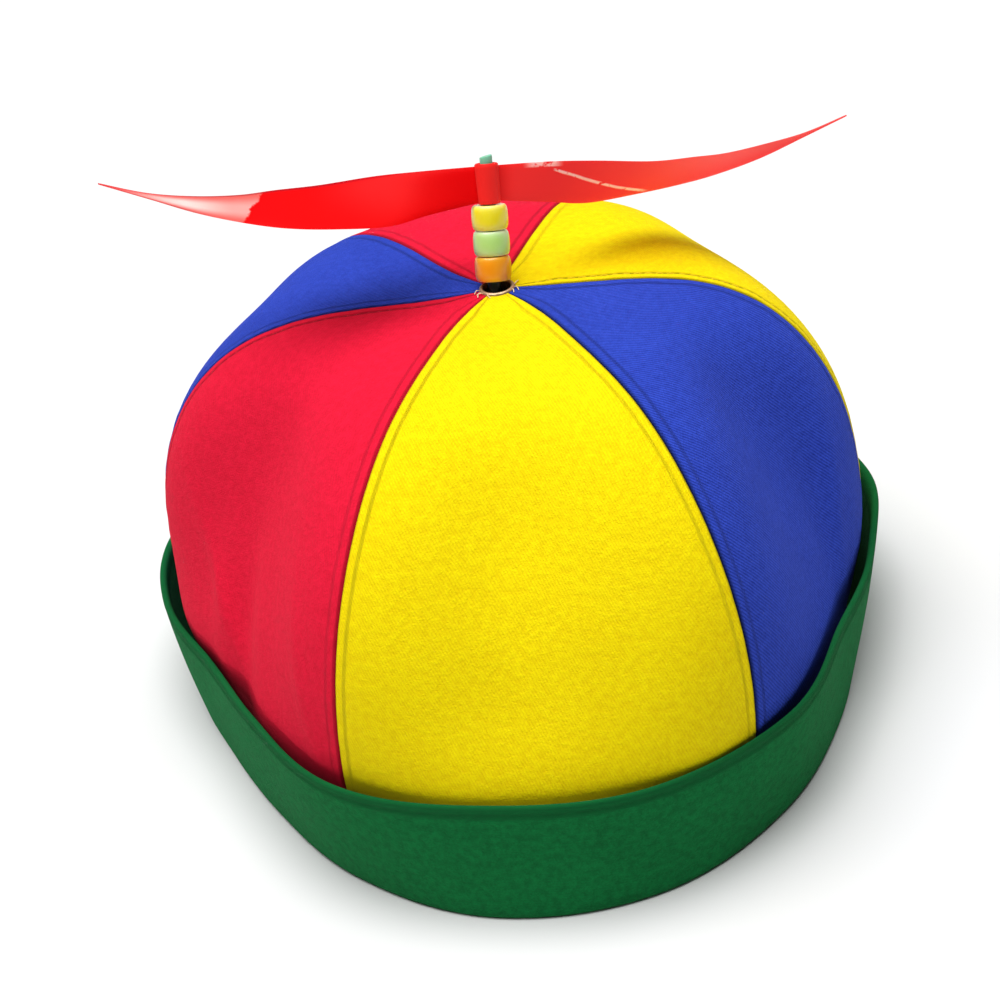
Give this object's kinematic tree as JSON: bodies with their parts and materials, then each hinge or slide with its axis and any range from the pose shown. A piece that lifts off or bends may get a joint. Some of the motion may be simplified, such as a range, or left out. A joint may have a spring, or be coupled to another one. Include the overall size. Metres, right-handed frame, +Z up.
{
  "type": "propeller beanie",
  "caption": "Cloth beanie of coloured panels with a turned-up cuff, and a plastic propeller that spins on a leaning beaded spindle at its crown.",
  "frame": {"origin": "on the ground under the middle of the whole object's box", "axes": "+Z up, the front (the widest yellow panel) towards -Y, +X to the right of someone who looks at the front"},
  "size_m": [0.1854, 0.214, 0.1502],
  "materials": {
    "yellow_twill": "matte cotton twill",
    "red_twill": "matte cotton twill",
    "blue_twill": "matte cotton twill",
    "green_twill": "matte cotton twill",
    "antique_brass": "worn antique brass",
    "mint_plastic": "glossy, slightly milky",
    "orange_plastic": "glossy, milky translucent",
    "pale_mint_plastic": "glossy, milky translucent",
    "yellow_plastic": "glossy, milky translucent",
    "red_plastic": "glossy, translucent where thin"
  },
  "bodies": {
    "cap": {"panel_yellow_back": "yellow_twill", "panel_red_back": "red_twill", "panel_blue_left": "blue_twill", "panel_red_left": "red_twill", "panel_yellow_front": "yellow_twill", "panel_blue_right": "blue_twill", "cuff": "green_twill", "eyelet": "antique_brass", "spindle": "mint_plastic", "bead_orange": "orange_plastic", "bead_mint": "pale_mint_plastic", "bead_yellow": "yellow_plastic"},
    "propeller": {"propeller": "red_plastic"}
  },
  "joints": [
    {"name": "propeller_spin", "type": "hinge", "parent": "cap", "child": "propeller", "pos_m": [0.0046, 0.00612, 0.12788], "axis": [0.0889, 0.3111, 0.9462], "continuous": true}
  ]
}
